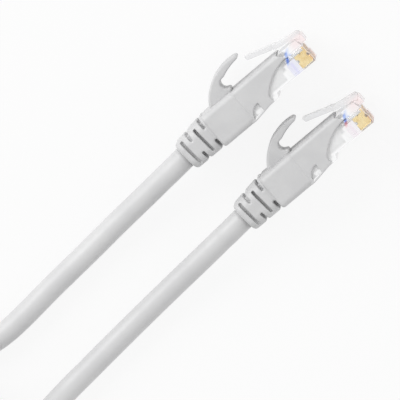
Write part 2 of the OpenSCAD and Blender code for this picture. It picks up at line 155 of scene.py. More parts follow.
class Nodes:
    """A node tree under construction, whose nodes are all made by one method."""

    def __init__(self, tree: bpy.types.NodeTree) -> None:
        """Empty the tree of a material, a world or a node group."""
        self.tree = tree
        tree.nodes.clear()

    def add(
        self,
        kind: str,
        inputs: dict[Any, Any] | None = None,
        output: Any = 0,
        **settings: Any,
    ) -> Signal:
        """Add one node.

        Args:
            kind: Node type.
            inputs: Values or signals for its sockets, by name or number.
            output: Name or number of the output to return.
            **settings: Properties of the node, set before its sockets.

        Returns:
            The chosen output, which is empty on a node that ends a tree.
        """
        node = self.tree.nodes.new(kind)
        for key, value in settings.items():
            setattr(node, key, value)
        for key, value in (inputs or {}).items():
            socket = node.inputs[key]
            if isinstance(value, Signal):
                self.tree.links.new(value.socket, socket)
            else:
                socket.default_value = (*value, 1.0) if socket.type == "RGBA" else value
        return Signal(self, node.outputs[output] if node.outputs else None)

    def rays(self, *kinds: str) -> Signal:
        """Tell some kinds of rays from the others.

        Args:
            *kinds: Kinds of rays, as the Light Path node calls them.

        Returns:
            1 for rays of these kinds, or else 0.
        """
        first, *others = (self.add("ShaderNodeLightPath", output=f"Is {k} Ray") for k in kinds)
        for other in others:
            first = first.largest(other)
        return first

    def part(self, source: Signal, axis: str) -> Signal:
        """One component of a vector."""
        return self.add("ShaderNodeSeparateXYZ", {0: source}, axis)


class Shader(Nodes):
    """A node material under construction."""

    def __init__(self, name: str) -> None:
        """Start an empty material.

        Args:
            name: Name of the material.
        """
        self.material = bpy.data.materials.new(name)
        self.material.use_nodes = True
        super().__init__(self.material.node_tree)

    def place(self) -> Signal:
        """Object coordinates."""
        return self.add("ShaderNodeTexCoord", output="Object")

    def uv(self) -> Signal:
        """The piece's own UV map."""
        return self.add("ShaderNodeTexCoord", output="UV")

    def stretched(self, source: Signal, scale: Point) -> Signal:
        """Scale a coordinate by a different amount along each axis."""
        return self.add("ShaderNodeMapping", {"Vector": source, "Scale": scale})

    def noise(self, source: Signal, scale: float, detail: float = 2.0, rough: float = 0.5) -> Signal:
        """Cloudy noise from 0 to 1."""
        inputs = {"Vector": source, "Scale": scale, "Detail": detail, "Roughness": rough}
        return self.add("ShaderNodeTexNoise", inputs)

    def mix(self, amount: Any, first: Any, second: Any) -> Signal:
        """Mix two colours."""
        return self.add("ShaderNodeMix", {0: amount, 6: first, 7: second}, 2, data_type="RGBA")

    def bump(self, height: Signal, depth: float) -> Signal:
        """Turn a height from 0 to 1 into a normal; the depth is in millimetres."""
        return self.add("ShaderNodeBump", {"Height": height, "Distance": depth * MM, "Strength": 1.0})

    def close(self, surface: Signal) -> bpy.types.Material:
        """End the material with a surface and return it."""
        self.add("ShaderNodeOutputMaterial", {"Surface": surface})
        return self.material

    def finish(self, values: dict[str, Any]) -> bpy.types.Material:
        """End the material with a Principled surface and return it."""
        return self.close(self.add("ShaderNodeBsdfPrincipled", values))


@dataclass(frozen=True)
class Vinyl:
    """Soft matt vinyl with a fine moulded grain."""

    name: str
    colour: Colour = (0.635, 0.635, 0.638)
    shade: Colour = (0.6, 0.6, 0.605)
    roughness: float = 0.42
    grain: float = 0.06
    grain_scale: float = 6500.0
    pit_scale: float = 1900.0
    cloud_scale: float = 260.0

    def make(self) -> bpy.types.Material:
        """Build the material.

        Returns:
            The material.
        """
        s = Shader(self.name)
        place = s.place()
        cloud = s.noise(place, self.cloud_scale, 3.0)
        grain = s.noise(place, self.grain_scale, 2.0, 0.6)
        pits = s.noise(place, self.pit_scale, 1.0)
        return s.finish(
            {
                "Base Color": s.mix(cloud.ramp(0.3, 0.7), self.colour, self.shade),
                "Roughness": self.roughness + 0.12 * cloud,
                "IOR": 1.5,
                "Specular IOR Level": 0.7,
                "Normal": s.bump(0.7 * grain + 0.3 * pits, self.grain),
            }
        )


@dataclass(frozen=True)
class Jacket:
    """Smooth PVC jacket, a little uneven over the twisted pairs."""

    name: str = "lead_jacket_pvc"
    colour: Colour = (0.665, 0.665, 0.667)
    shade: Colour = (0.63, 0.63, 0.635)
    relief: float = 0.05
    lump_scale: float = 330.0
    skin_scale: float = 4200.0
    cloud_scale: float = 120.0

    def make(self) -> bpy.types.Material:
        """Build the material.

        Returns:
            The material.
        """
        s = Shader(self.name)
        place = s.place()
        cloud = s.noise(place, self.cloud_scale, 3.0)
        lumps = s.noise(place, self.lump_scale, 2.0)
        skin = s.noise(place, self.skin_scale, 2.0)
        return s.finish(
            {
                "Base Color": s.mix(cloud.ramp(0.3, 0.7), self.colour, self.shade),
                "Roughness": 0.34 + 0.16 * cloud,
                "IOR": 1.52,
                "Normal": s.bump(0.9 * lumps + 0.1 * skin, self.relief),
            }
        )


@dataclass(frozen=True)
class ClearPlastic:
    """Moulded clear polycarbonate, milky towards its rear, with faint flow marks.

    The light that its comb walls bend carries some of the wires' colours. This is
    painted refraction: soft tints painted into its colour, a streak and a patch
    behind the blades and a warm nose. The lever carries a painted shade of grey.
    Places and ranges are in millimetres of the end's own frame.
    """

    end: End
    colour: Colour = (0.99, 0.992, 0.995)
    roughness: float = 0.06
    milky_roughness: float = 0.3
    flow_scale: float = 520.0
    flow_depth: float = 0.012
    # Painted refraction: the streak, foot, patch and nose colours stand in for colours that the comb walls
    # bend, not for colours of the plastic
    streak: Colour = (0.36, 0.5, 0.98)
    foot: dict[End, Colour] = field(
        default_factory=lambda: {End.A: (0.36, 0.5, 0.98), End.B: (0.93, 0.52, 0.58)}
    )
    streak_at: Pair = (-4.9, 4.6)
    streak_slant: float = 0.5
    streak_side: Pair = (0.15, 0.6)
    streak_reach: Pair = (1.1, 1.7)
    streak_foot: Pair = (3.9, 4.5)
    patch: dict[End, Colour] = field(
        default_factory=lambda: {End.A: (0.8, 0.8, 0.99), End.B: (0.95, 0.88, 0.93)}
    )
    patch_at: Pair = (-5.3, 1.6)
    patch_side: Pair = (0.5, 1.1)
    patch_reach: Pair = (1.3, 2.0)
    nose: Colour = (0.98, 0.88, 0.88)
    nose_tip: Pair = (-0.7, -0.2)
    nose_run: Pair = (-3.4, -1.6)
    nose_rise: Pair = (4.4, 5.4)
    # Painted shade: the lever, above the plug's top, is painted grey
    lever: Colour = (0.83, 0.83, 0.84)
    lever_rise: Pair = (6.7, 7.5)
    lever_share: float = 0.8
    cloudy: Pair = (0.74, 0.1)
    cloud_run: Pair = (-8.6, -4.6)
    cloud_rise: Pair = (4.5, 5.4)
    cloud_top: float = 0.5

    def tint(self, s: Shader, x: Signal, y: Signal) -> Signal:
        """Lay painted refraction and a painted shade over the clear colour.

        Args:
            s: The material under construction.
            x: Place along the end's own frame, in millimetres.
            y: Place across it.

        Returns:
            The colour.
        """
        # Painted refraction: a slanting streak and a patch of the wires' colours
        at_x, at_y = self.streak_at
        side = x - at_x - self.streak_slant * (y - at_y)
        streak = side.size().ramp(*self.streak_side, 1.0, 0.0)
        streak = streak * (y - at_y).size().ramp(*self.streak_reach, 1.0, 0.0)
        at_x, at_y = self.patch_at
        patch = (x - at_x).size().ramp(*self.patch_side, 1.0, 0.0)
        patch = patch * (y - at_y).size().ramp(*self.patch_reach, 1.0, 0.0)
        # Painted refraction: a warm nose
        warm = x.ramp(*self.nose_tip).largest(x.ramp(*self.nose_run) * y.ramp(*self.nose_rise))
        tint = s.mix(warm, self.colour, self.nose)
        # Painted shade: grey laid over the lever
        tint = s.mix(y.ramp(*self.lever_rise, 0.0, self.lever_share), tint, self.lever)
        tint = s.mix(patch, tint, self.patch[self.end])
        blue = s.mix(y.ramp(*self.streak_foot), self.foot[self.end], self.streak)
        return s.mix(streak, tint, blue)

    def make(self) -> bpy.types.Material:
        """Build the material.

        Returns:
            The material.
        """
        s = Shader(f"clear_polycarbonate_{self.end.letter}")
        place = s.place()
        flow = s.noise(s.stretched(place, (0.35, 1.0, 1.0)), self.flow_scale)
        x, y = (
            (s.part(place, axis) - start) * (1 / MM)
            for axis, start in zip("XY", self.end.origin)
        )
        relief = s.bump(flow, self.flow_depth)
        shared = {"Base Color": self.tint(s, x, y), "IOR": 1.3, "Normal": relief}
        kinds = (
            {"Roughness": self.roughness + 0.06 * flow, "Transmission Weight": 1.0},
            {"Roughness": self.milky_roughness},
        )
        clear, milky = (s.add("ShaderNodeBsdfPrincipled", {**shared, **kind}) for kind in kinds)
        outside = 1.0 - s.add("ShaderNodeNewGeometry", output="Backfacing")
        rear = x.ramp(*self.cloud_run, *self.cloudy)
        cloud = outside * rear.largest(y.ramp(*self.cloud_rise, 0.0, self.cloud_top))
        return s.close(s.add("ShaderNodeMixShader", {0: cloud, 1: clear, 2: milky}))


@dataclass(frozen=True)
class Gold:
    """Gold flash over nickel, with fine stamping marks."""

    name: str = "gold_flash"
    colour: Colour = (0.95, 0.77, 0.4)
    shade: Colour = (0.86, 0.63, 0.25)
    line_scale: float = 5200.0
    cloud_scale: float = 900.0

    def make(self) -> bpy.types.Material:
        """Build the material.

        Returns:
            The material.
        """
        s = Shader(self.name)
        place = s.place()
        cloud = s.noise(place, self.cloud_scale, 3.0)
        lines = s.noise(s.stretched(place, (1.0, 0.08, 1.0)), self.line_scale, 2.0)
        return s.finish(
            {
                "Base Color": s.mix(cloud.ramp(0.35, 0.7), self.colour, self.shade),
                "Metallic": 1.0,
                "Roughness": 0.2 + 0.2 * lines,
                "Normal": s.bump(lines, 0.004),
            }
        )


@dataclass(frozen=True)
class Insulation:
    """Glossy wire insulation, plain or white with a stripe along it."""

    name: str
    colour: Colour
    striped: bool = False
    white: Colour = (0.86, 0.86, 0.85)
    stripe: Pair = (0.18, 0.46)
    worn: float = 0.88

    def make(self) -> bpy.types.Material:
        """Build the material, whose stripe follows the piece's own UV map.

        Returns:
            The material.
        """
        s = Shader(self.name)
        cloud = s.noise(s.place(), 700.0, 2.0)
        shade = tuple(self.worn * c for c in self.colour)
        base: Any = s.mix(cloud.ramp(0.3, 0.7), self.colour, shade)
        if self.striped:
            around = s.part(s.uv(), "X")
            start, stop = self.stripe
            band = (around > start) * (1.0 - (around > stop))
            base = s.mix(band, self.white, base)
        return s.finish(
            {"Base Color": base, "Roughness": 0.3 + 0.1 * cloud, "Normal": s.bump(cloud, 0.01)}
        )


# ---- mesh tools -----------------------------------------------------------


def dress(mesh: bpy.types.Mesh, material: bpy.types.Material) -> None:
    """Make a finish the only one on a mesh."""
    mesh.materials.clear()
    mesh.materials.append(material)


def new_piece(name: str, mesh: bpy.types.Mesh, material: bpy.types.Material) -> bpy.types.Object:
    """Put a mesh into the scene as a piece.

    Args:
        name: Name of the piece.
        mesh: Its mesh, in the row's metres.
        material: Its finish.

    Returns:
        The new object, at the origin.
    """
    dress(mesh, material)
    piece = bpy.data.objects.new(name, mesh)
    bpy.context.scene.collection.objects.link(piece)
    return piece


def settle(piece: bpy.types.Object, slot: str, *nodes: str) -> None:
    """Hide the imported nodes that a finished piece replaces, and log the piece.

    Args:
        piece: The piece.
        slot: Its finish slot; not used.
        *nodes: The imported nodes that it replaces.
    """
    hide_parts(*nodes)
    LOG.info("made %s", piece.name)


def mesh_from(
    name: str, points: Grid, faces: Sequence[Sequence[int]], uv: Grid | None = None
) -> bpy.types.Mesh:
    """Make a smooth mesh from points and faces.

    Args:
        name: Name of the mesh.
        points: Points in metres.
        faces: Corner numbers of each face.
        uv: One UV pair for each corner of each face, in order.

    Returns:
        The mesh.
    """
    mesh = bpy.data.meshes.new(name)
    mesh.from_pydata([tuple(map(float, p)) for p in points], [], faces)
    mesh.polygons.foreach_set("use_smooth", [True] * len(mesh.polygons))
    if uv is not None:
        layer = mesh.uv_layers.new(name="UVMap")
        layer.data.foreach_set("uv", np.asarray(uv, np.float32).ravel())
    mesh.validate()
    mesh.update()
    return mesh


def run_along(line: Grid) -> Grid:
    """Length of a line from its start to each of its points."""
    return np.concatenate([[0.0], np.cumsum(np.linalg.norm(np.diff(line, axis=0), axis=1))])


def ease(t: float) -> float:
    """Smooth step from 0 to 1."""
    return t * t * (3.0 - 2.0 * t)


def smooth_line(points: Sequence[Point], step: float) -> Grid:
    """Draw a smooth line through points and divide it evenly.

    Args:
        points: Points that the line passes through.
        step: Longest distance between two points of the result.

    Returns:
        Points along the line.
    """
    knots = [Vector(p) for p in points]
    ends = [2 * knots[0] - knots[1], *knots, 2 * knots[-1] - knots[-2]]
    dense: list[Vector] = []
    for before, start, stop, after in zip(ends, ends[1:], ends[2:], ends[3:]):
        pairs = ((before, start), (start, stop), (stop, after))
        g0, g1, g2 = (math.sqrt((b - a).length) for a, b in pairs)
        into = (start - before) / g0 - (stop - before) / (g0 + g1) + (stop - start) / g1
        out = (stop - start) / g1 - (after - start) / (g1 + g2) + (after - stop) / g2
        into, out = into * g1, out * g1
        for k in range(KNOT_STEPS):
            t = k / KNOT_STEPS
            dense.append(
                (2 * t**3 - 3 * t**2 + 1) * start
                + (t**3 - 2 * t**2 + t) * into
                + (3 * t**2 - 2 * t**3) * stop
                + (t**3 - t**2) * out
            )
    dense.append(knots[-1])
    line = np.array([tuple(p) for p in dense])
    run = run_along(line)
    even = np.linspace(0.0, run[-1], max(2, math.ceil(run[-1] / step) + 1))
    return np.stack([np.interp(even, run, line[:, k]) for k in range(3)], axis=1)


def ring_faces(rings: int, sides: int, closed: bool = False) -> list[tuple[int, ...]]:
    """Join rings of points, one after the other, with faces.

    Args:
        rings: Number of rings.
        sides: Number of points in each ring.
        closed: Whether the last ring joins the first.

    Returns:
        Corner numbers of each face.
    """
    hops = list(zip(range(rings - 1), range(1, rings)))
    if closed:
        hops.append((rings - 1, 0))
    around = [(k, (k + 1) % sides) for k in range(sides)]
    return [
        (i * sides + k, i * sides + m, n * sides + m, n * sides + k)
        for i, n in hops
        for k, m in around
    ]


def swept_tube(
    name: str, line: Grid, radius: Callable[[Grid, Grid], Grid] | float, sides: int
) -> bpy.types.Mesh:
    """Sweep a tube with closed ends along a line.

    Args:
        name: Name of the mesh.
        line: Points of its middle, in millimetres of the row or of an end.
        radius: Radius, or a function of run and angle that gives it.
        sides: Number of sides.

    Returns:
        The tube, in the same units turned into metres.
    """
    headings = np.gradient(line, axis=0)
    headings /= np.linalg.norm(headings, axis=1)[:, None]
    run = run_along(line)
    side = np.cross(headings[0], (0.0, 0.0, 1.0))
    angles = np.linspace(0.0, 2 * math.pi, sides, endpoint=False)
    rings = []
    for at, heading, along in zip(line, headings, run):
        side = side - heading * side.dot(heading)
        side /= np.linalg.norm(side)
        other = np.cross(heading, side)
        reach = radius(np.full(sides, along), angles) if callable(radius) else np.full(sides, radius)
        ring = np.cos(angles)[:, None] * side + np.sin(angles)[:, None] * other
        rings.append(at + reach[:, None] * ring)
    faces = ring_faces(len(rings), sides)
    uv = [
        (u / sides, run[v] / run[-1])
        for i in range(len(rings) - 1)
        for k in range(sides)
        for u, v in ((k, i), (k + 1, i), (k + 1, i + 1), (k, i + 1))
    ]
    last, count = (len(rings) - 1) * sides, len(rings) * sides
    for k in range(sides):
        n = (k + 1) % sides
        faces += [(count, n, k), (count + 1, last + k, last + n)]
        uv += [(0.5, 0.0)] * 3 + [(0.5, 1.0)] * 3
    skin = np.concatenate([*rings, line[:1], line[-1:]])
    return mesh_from(name, skin * MM, faces, np.array(uv))


def end_piece(
    stem: str, mesh: bpy.types.Mesh, end: End, material: bpy.types.Material
) -> bpy.types.Object:
    """Put a copy of a mesh into the scene as a piece of one end.

    Args:
        stem: What the piece's name starts with.
        mesh: A mesh in an end's frame, in metres.
        end: The end.
        material: Its finish.

    Returns:
        The new object, at the origin.
    """
    copy = mesh.copy()
    copy.name = stem
    copy.transform(Matrix.Translation(end.origin))
    return new_piece(end.node(stem), copy, material)


# ---- solid fields ---------------------------------------------------------


class Solid:
    """Distances to a solid, sampled in a block of space; negative inside."""

    def __init__(self, distance: Grid) -> None:
        """Keep the distances, in millimetres."""
        self.distance = distance

    def __or__(self, other: "Solid") -> "Solid":
        """Join two solids."""
        return Solid(np.minimum(self.distance, other.distance))

    def __and__(self, other: "Solid") -> "Solid":
        """What two solids share."""
        return Solid(np.maximum(self.distance, other.distance))

    def __sub__(self, other: "Solid") -> "Solid":
        """Cut one solid from another."""
        return Solid(np.maximum(self.distance, -other.distance))

    def joined(self, other: "Solid", fillet: float) -> "Solid":
        """Join two solids with a fillet where they meet."""
        h = np.clip(0.5 + 0.5 * (other.distance - self.distance) / fillet, 0.0, 1.0)
        return Solid(other.distance + (self.distance - other.distance) * h - fillet * h * (1.0 - h))

    def shared(self, other: "Solid", edge: float) -> "Solid":
        """What two solids share, with soft edges where their faces meet."""
        return Solid(-(Solid(-self.distance).joined(Solid(-other.distance), edge)).distance)

    def cut(self, other: "Solid", edge: float) -> "Solid":
        """Cut one solid from another and soften the edges of the cut."""
        return self.shared(Solid(-other.distance), edge)


def rounded(first: Grid, second: Grid, r: float) -> Solid:
    """What lies inside two crossing walls, with a round edge where they cross.

    Args:
        first: Distances to one wall, negative inside.
        second: Distances to the other wall.
        r: Radius of the edge.

    Returns:
        The solid.
    """
    a, b = first + r, second + r
    outside = np.hypot(np.maximum(a, 0.0), np.maximum(b, 0.0))
    return Solid(outside + np.minimum(np.maximum(a, b), 0.0) - r)


class Space:
    """A block of space in an end's frame, in which solids are drawn."""

    def __init__(self, low: Point, high: Point, pitch: float) -> None:
        """Lay out the samples.

        Args:
            low: Lowest corner, in millimetres.
            high: Highest corner.
            pitch: Distance between samples.
        """
        self.low, self.pitch = np.array(low), pitch
        axes = [np.arange(a, b + pitch, pitch, dtype=np.float32) for a, b in zip(low, high)]
        self.x, self.y, self.z = np.meshgrid(*axes, indexing="ij", sparse=True)
        self.shape = tuple(len(a) for a in axes)

    def turned(self, at: Pair, angle: float) -> "Space":
        """The same samples, seen from a frame that is moved and turned about Z.

        Args:
            at: Origin of that frame.
            angle: Its turn, in radians.

        Returns:
            The samples in that frame.
        """
        seen = object.__new__(Space)
        seen.low, seen.pitch, seen.shape = self.low, self.pitch, self.shape
        x, y = self.x - at[0], self.y - at[1]
        c, s = math.cos(angle), math.sin(angle)
        seen.x, seen.y, seen.z = c * x + s * y, -s * x + c * y, self.z
        return seen

    def disc(self, circle: Circle) -> Solid:
        """A round rod along Z, without ends, from its place and radius."""
        return Solid(np.hypot(self.x - circle[0], self.y - circle[1]) - circle[2])

    def rod_x(self, y: float, r: float) -> Solid:
        """A round rod along X, without ends, in the middle of the width."""
        return Solid(np.hypot(self.y - y, self.z) - r)

    def slab(self, axis: str, low: float, high: float) -> Solid:
        """What lies between two planes square to an axis."""
        value = getattr(self, axis)
        return Solid(np.abs(value - (low + high) / 2) - (high - low) / 2)

    def block(self, low: Point, high: Point, r: float = 0.0) -> Solid:
        """A block with round edges.

        Args:
            low: Its lowest corner.
            high: Its highest corner.
            r: Radius of its edges.

        Returns:
            The solid.
        """
        parts = [
            np.abs(value - (a + b) / 2) - (b - a) / 2 + r
            for value, a, b in zip((self.x, self.y, self.z), low, high)
        ]
        outside = np.sqrt(sum(np.maximum(p, 0.0) ** 2 for p in parts))
        inside = np.minimum(np.maximum(np.maximum(parts[0], parts[1]), parts[2]), 0.0)
        return Solid(outside + inside - r)

    def beam(self, y0: float, y1: float, half: float, r: float) -> Solid:
        """A round-edged rectangular beam along X, without ends."""
        return rounded(np.abs(self.y - (y0 + y1) / 2) - (y1 - y0) / 2, np.abs(self.z) - half, r)

    def across(self, outline: Solid, half: float, r: float) -> Solid:
        """Draw an XY outline out to half a width on each side and round its edges."""
        return rounded(outline.distance, np.abs(self.z) - half, r)

    def mesh(self, name: str, solid: Solid, adaptivity: float) -> bpy.types.Mesh:
        """Skin a solid.

        Args:
            name: Name of the mesh.
            solid: The solid, in this space.
            adaptivity: How much flat areas may be simplified, from 0 to 1.

        Returns:
            A smooth mesh in metres, in the end's frame.
        """
        values = np.broadcast_to(solid.distance, self.shape) / self.pitch
        values = np.clip(values, -GRID_REACH, GRID_REACH)
        grid = openvdb.FloatGrid(GRID_REACH)
        grid.copyFromArray(np.ascontiguousarray(values, np.float32))
        points, triangles, quads = grid.convertToPolygons(0.0, adaptivity)
        points = (self.low + points * self.pitch) * MM
        faces = [*triangles[:, ::-1].tolist(), *quads[:, ::-1].tolist()]
        mesh = mesh_from(name, points, faces)
        work = bmesh.new()
        work.from_mesh(mesh)
        if work.calc_volume(signed=True) < 0:
            bmesh.ops.reverse_faces(work, faces=work.faces)
        bmesh.ops.dissolve_degenerate(work, dist=1e-6, edges=work.edges)
        work.to_mesh(mesh)
        work.free()
        LOG.info("%s: %d points, %d faces", name, len(mesh.vertices), len(mesh.polygons))
        return mesh


# ---- boot -----------------------------------------------------------------


@dataclass
class Boot:
    """Moulded snagless boot: body, sleeve over the plug, slotted strain relief and hook."""

    pitch: float = 0.13
    hook_share: float = 0.8
    adaptivity: float = 0.003
    skin_space: tuple[Point, Point] = ((-39.6, -3.0, -7.4), (-4.4, 7.9, 7.4))
    hook_space: tuple[Point, Point] = ((-28.6, 6.2, -3.6), (-13.0, 13.8, 3.6))
    lap: float = 1.0
    soft: float = 0.3
    half_width: float = 6.8
    rear: float = -29.6
    front: float = -19.9
    bottom: float = -2.05
    top: float = 7.1
    edge: float = 1.4
    rim: float = 0.9
    sleeve_half: float = 6.49
    sleeve_depth: float = 3.0
    sleeve_edge: float = 1.0
    sleeve_rim: float = 0.28
    rail_top: float = 7.0
    rail_tip: float = -6.6
    tongue: Pair = (-5.0, 5.15)
    tongue_edge: float = 0.5
    scoop: Circle = (-4.47, -7.45, 12.4)
    scoop_edge: float = 0.35
    window: Circle = (-16.85, -1.9, 3.0)
    strap: Pair = (-16.85, -13.85)
    strap_bottom: float = -1.08
    strap_top: float = 1.6
    strap_edge: float = 0.4
    sill: float = 0.38
    sill_fillet: float = 0.1
    channel_half: float = 3.41
    channel_floor: float = 0.4
    channel_top: float = 12.0
    channel_edge: float = 0.2
    roof_front: float = -6.0
    pocket: Pair = (-1.32, 6.65)
    pocket_half: float = 5.89
    pocket_run: Pair = (-21.55, 2.0)
    pocket_depth: float = 2.0
    pocket_round: float = 0.2
    pocket_edge: float = 0.12
    relief_length: float = 9.1
    relief_half: Pair = (4.6, 3.95)
    relief_half_width: Pair = (5.8, 4.8)
    relief_round: float = 2.8
    relief_edge: float = 1.1
    relief_root: float = 0.25
    slot_rows: int = 4
    slot_first: float = 0.75
    slot_pitch: float = 2.15
    slot_half: float = 0.35
    slot_floor: float = 3.3
    slot_far: float = 9.0
    side_slot: float = 3.4
    side_slot_edge: float = 0.35
    cross_slot: float = 1.75
    cross_slot_edge: float = 0.45
    core: Pair = (3.3, 3.8)
    bore: float = 2.85
    bore_play: float = 0.05
    bore_lap: float = 0.5
    guard_half: float = 3.0
    guard_edge: float = 0.5
    guard_outer: Circle = (-16.4, 1.2, 12.0)
    guard_inner: Circle = (-13.35, -2.9, 14.9)
    guard_tip: float = -13.7
    guard_tip_edge: float = 0.9
    guard_front: float = -20.45
    guard_rise: Pair = (6.78, 20.0)
    throat: Circle = (-19.95, 9.35, 1.3)
    lip: Circle = (-20.35, 7.5, 0.55)
    knuckle: Pair = (-21.95, 10.6)
    arm_angle: float = math.radians(31.4)
    flex: Pair = (0.1, 3.6)
    vinyl: Vinyl = field(default_factory=lambda: Vinyl("boot_vinyl_moulded"))

    def body(self, s: Space) -> Solid:
        """Block of the body with round long edges and a softened rear rim."""
        beam = s.beam(self.bottom, self.top, self.half_width, self.edge)
        return beam.shared(s.slab("x", self.rear, self.front), self.rim)

    def side(self, s: Space) -> Solid:
        """Side view of the sleeve: slanting tongue, scooped front, window, strap and sill.

        Args:
            s: The space to draw in.

        Returns:
            The side view, drawn out through the whole width.
        """
        x0, y0 = self.tongue
        back, rise = x0 - self.rail_tip, self.rail_top - y0
        nose = Solid(((s.x - x0) * rise + (s.y - y0) * back) / math.hypot(back, rise))
        side = nose.shared(s.slab("x", self.front - self.lap, x0), self.tongue_edge)
        side = side.cut(s.disc(self.scoop), self.scoop_edge)
        side = side.cut(s.disc(self.window) & s.slab("x", self.front, self.window[0]), self.soft)
        strap = s.slab("y", self.strap_bottom, self.strap_top + self.lap)
        side = side.joined(s.slab("x", *self.strap).shared(strap, self.strap_edge), self.soft)
        slant = (self.strap_bottom - self.bottom) / (self.strap[1] - self.front)
        under = s.y - self.bottom - slant * (s.x - self.front)
        sill = Solid(under - self.sill) & s.slab("x", self.front - self.lap, self.strap[1])
        side = side.joined(sill, self.sill_fillet) & Solid(-under)
        side = side & s.slab("y", self.bottom, self.rail_top + self.lap)
        return side - (Solid(s.y - self.strap_bottom) & Solid(self.strap[1] - s.x))

    def sleeve(self, s: Space) -> Solid:
        """Hollow sleeve that reaches forward over the plug, with an open channel on top.

        Args:
            s: The space to draw in.

        Returns:
            The sleeve.
        """
        low, high = self.pocket
        bottom = self.strap_bottom - self.sleeve_depth
        shell = s.beam(bottom, self.rail_top, self.sleeve_half, self.sleeve_edge)
        hollow = s.beam(low - self.pocket_depth, high, self.pocket_half, self.pocket_round)
        shell = shell.cut(hollow, self.pocket_edge).shared(self.side(s), self.sleeve_rim)
        channel = s.slab("z", -self.channel_half, self.channel_half)
        channel = channel & s.slab("y", high - self.channel_floor, self.channel_top)
        return shell.cut(channel & Solid(self.roof_front - s.x), self.channel_edge)

    def relief(self, s: Space) -> Solid:
        """Tapered strain relief, bent a little, with long slots across and short ones at its sides.

        Args:
            s: The space to draw in.

        Returns:
            The strain relief.
        """
        t = s.turned((self.rear, AXIS_Y), RELIEF_BEND)
        along = np.clip(-t.x / self.relief_length, 0.0, 1.0)
        high, wide = (
            root + (tip - root) * along for root, tip in (self.relief_half, self.relief_half_width)
        )
        cone = rounded(np.abs(t.y) - high, np.abs(t.z) - wide, self.relief_round)
        solid = cone.shared(t.slab("x", -self.relief_length, self.lap), self.relief_edge)
        far, tall, low = self.slot_far, self.side_slot, self.cross_slot
        for k in range(self.slot_rows):
            at = -self.slot_first - k * self.slot_pitch
            x0, x1 = at - self.slot_half, at + self.slot_half
            if k % 2:
                for z0, z1 in ((self.slot_floor, far), (-far, -self.slot_floor)):
                    slot = t.block((x0, -tall, z0), (x1, tall, z1), self.soft)
                    solid = solid.cut(slot, self.side_slot_edge)
            else:
                high, wide = self.core
                core = t.block((x0 - self.lap, 0.0, -wide), (x1 + self.lap, high, wide))
                above = t.block((x0, low, -far), (x1, far, far), self.soft)
                below = t.block((x0, -far, -far), (x1, -low, far), self.soft)
                solid = solid.cut(above - core, self.cross_slot_edge).cut(below, self.cross_slot_edge)
        return solid & Solid(t.x - self.bore_lap)

    def skin(self) -> bpy.types.Mesh:
        """Skin the boot without its hook.

        Returns:
            The skin, in the end's frame.
        """
        s = Space(*self.skin_space, self.pitch)
        t = s.turned((self.rear, AXIS_Y), RELIEF_BEND)
        solid = self.body(s).joined(self.relief(s), self.relief_root) | self.sleeve(s)
        (x0, x1), (y0, y1), half = self.pocket_run, self.pocket, self.pocket_half
        solid = solid - s.block((x0, y0, -half), (x1, y1, half))
        solid = solid - (s.rod_x(AXIS_Y, self.bore) & Solid(self.rear - self.bore_lap - s.x))
        bore = t.rod_x(0.0, self.bore + self.bore_play) & Solid(t.x - self.bore_lap)
        return s.mesh("boot_skin", solid.cut(bore, self.soft), self.adaptivity)

    def hook(self) -> bpy.types.Mesh:
        """Skin the hooked snag guard, from the top of the body to its tip.

        Returns:
            The skin, in the end's frame.
        """
        s = Space(*self.hook_space, self.pitch * self.hook_share)
        outer = s.disc(self.guard_outer)
        arm = outer.cut(s.disc(self.guard_inner), self.guard_edge)
        root = outer.shared(Solid(s.x - self.guard_front), self.soft)
        outline = arm.joined(root, self.soft).shared(Solid(s.x - self.guard_tip), self.guard_tip_edge)
        outline = outline.cut(s.disc(self.throat), self.soft).joined(s.disc(self.lip), self.soft)
        outline = outline & s.slab("y", *self.guard_rise)
        return s.mesh("hook_skin", s.across(outline, self.guard_half, self.guard_edge), self.adaptivity)

    def build(self) -> None:
        """Make both boots and their hooks."""
        vinyl = self.vinyl.make()
        skin, hook = self.skin(), self.hook()
        for end in End:
            boot = end_piece("snagless_boot", skin, end, vinyl)
            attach(boot, "cable")
            settle(boot, "boot_vinyl", end.node("boot"))
            guard = end_piece("snag_guard_hook", hook, end, vinyl)
            root = end.place(*self.knuckle, 0.0)
            end.node("snag_guard")
            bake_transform(guard)
            settle(guard, "boot_vinyl", end.node("finger"))


# ---- plug -----------------------------------------------------------------


@dataclass
class PlugDress:
    """Finishes and softened edges of the plug's clear pieces."""

    weld: float = 0.002
    flat: float = math.radians(1.0)
    edge_angle: float = math.radians(25.0)
    edges: tuple[tuple[str, float], ...] = (
        ("plug_shell", 0.1),
        ("latch", 0.16),
        ("load_bar", 0.06),
        ("jacket_clamp", 0.08),
    )

    def soften(self, node: bpy.types.Object, width: float) -> None:
        """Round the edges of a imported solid's own object with modifiers.

        Args:
            node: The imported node's object.
            width: Width of the rounding in millimetres.
        """
        weld = node.modifiers.new("weld", "WELD")
        weld.merge_threshold = self.weld * MM
        flat = node.modifiers.new("flat", "DECIMATE")
        flat.decimate_type = "DISSOLVE"
        flat.angle_limit = self.flat
        bevel = node.modifiers.new("bevel", "BEVEL")
        bevel.limit_method = "ANGLE"
        bevel.angle_limit = self.edge_angle
        bevel.width = width * MM
        bevel.segments = 2
        bevel.harden_normals = False

    def build(self, nodes: dict[str, bpy.types.Object]) -> None:
        """Dress the shell, latch, load bar and clamp of each end.

        Args:
            nodes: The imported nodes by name.
        """
        for end in End:
            material = ClearPlastic(end).make()
            for stem, width in self.edges:
                node = nodes[end.node(stem)]
                dress(node.data, material)
                self.soften(node, width)
                LOG.info("dressed %s", node.name)


